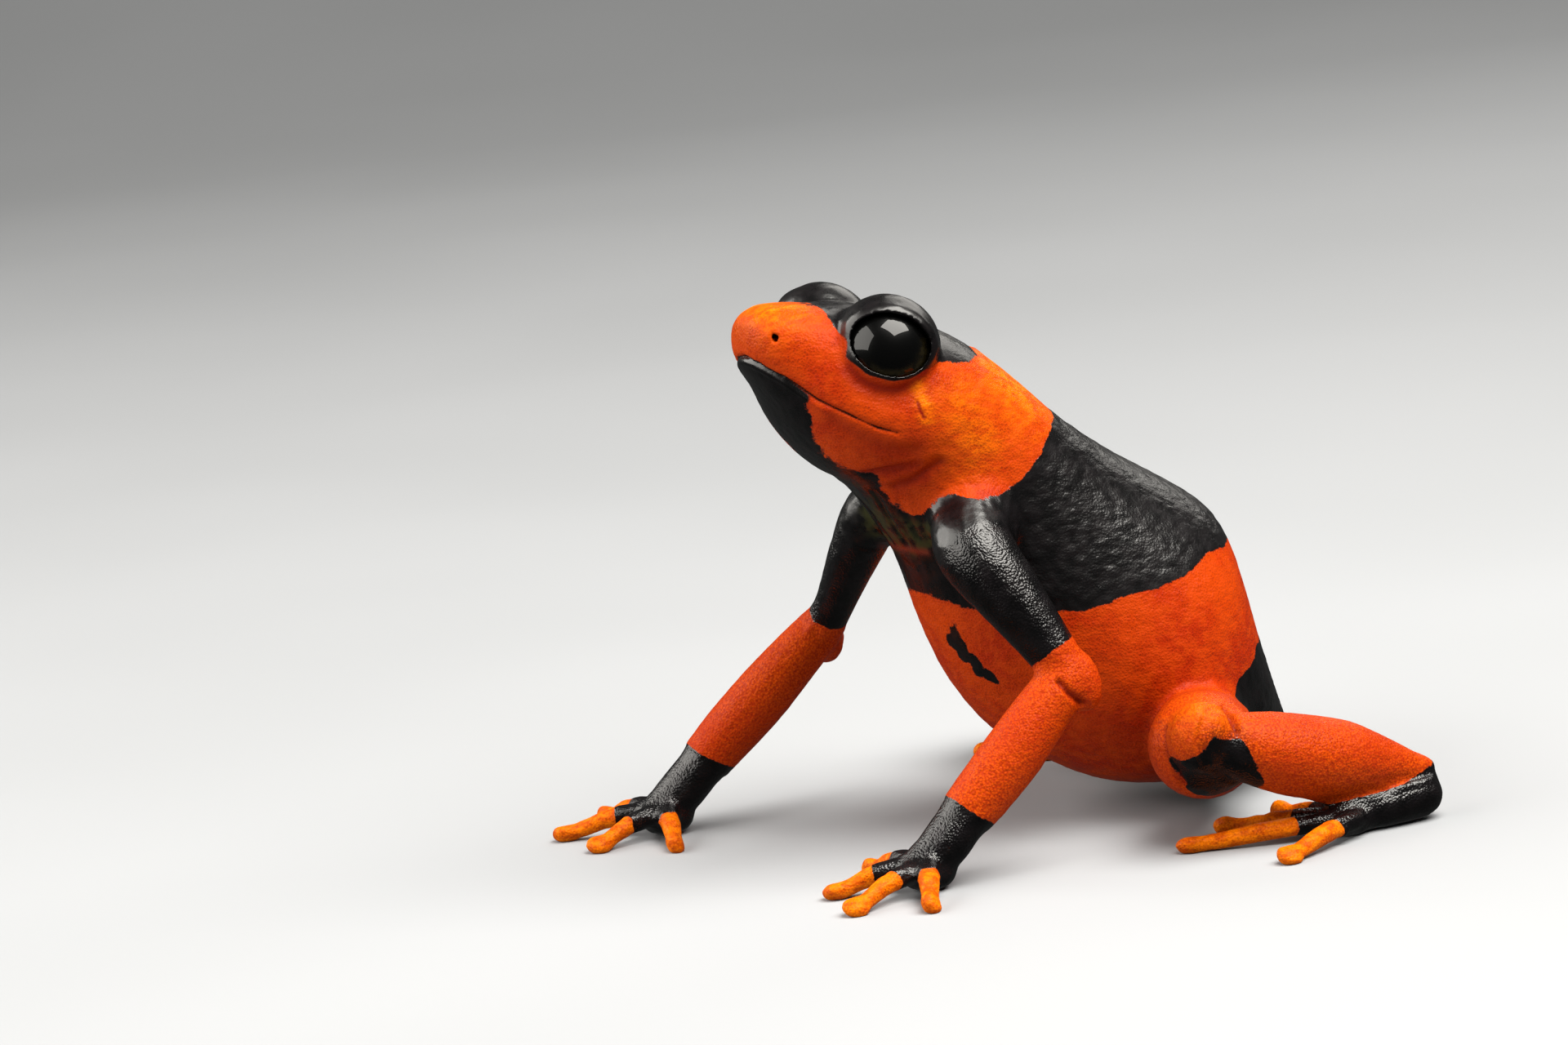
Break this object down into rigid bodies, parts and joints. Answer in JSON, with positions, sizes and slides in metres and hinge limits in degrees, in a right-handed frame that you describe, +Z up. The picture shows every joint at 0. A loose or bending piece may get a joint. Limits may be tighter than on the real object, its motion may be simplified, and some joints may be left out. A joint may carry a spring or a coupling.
{
  "type": "poison frog model",
  "caption": "Life-size still model of a Lehmann's poison frog, propped up on its hands with the hind legs folded and the head raised.",
  "frame": {"origin": "middle of the bounding box in plan, at floor level under the hands and feet", "axes": "+Z up, the snout points along -Y, and the animal's left side is at +X"},
  "size_m": [0.0358, 0.0336, 0.0254],
  "materials": {
    "red_skin": "satin",
    "orange_skin": "satin",
    "black_skin": "satin",
    "eye": "glossy"
  },
  "bodies": {
    "root": {"eye_left": "eye", "eye_right": "eye", "finger_1_left": "orange_skin", "finger_1_right": "orange_skin", "finger_2_left": "orange_skin", "finger_2_right": "orange_skin", "finger_3_left": "orange_skin", "finger_3_right": "orange_skin", "finger_4_left": "orange_skin", "finger_4_right": "orange_skin", "foot_left": "black_skin", "foot_right": "black_skin", "forearm_left": "orange_skin", "forearm_right": "orange_skin", "hand_left": "black_skin", "hand_right": "black_skin", "head": "red_skin", "shank_left": "orange_skin", "shank_right": "orange_skin", "tarsus_left": "black_skin", "tarsus_right": "black_skin", "thigh_left": "red_skin", "thigh_right": "red_skin", "toe_1_left": "orange_skin", "toe_1_right": "orange_skin", "toe_2_left": "orange_skin", "toe_2_right": "orange_skin", "toe_3_left": "orange_skin", "toe_3_right": "orange_skin", "toe_4_left": "orange_skin", "toe_4_right": "orange_skin", "toe_5_left": "orange_skin", "toe_5_right": "orange_skin", "torso": "red_skin", "upper_arm_left": "black_skin", "upper_arm_right": "black_skin"}
  },
  "joints": []
}
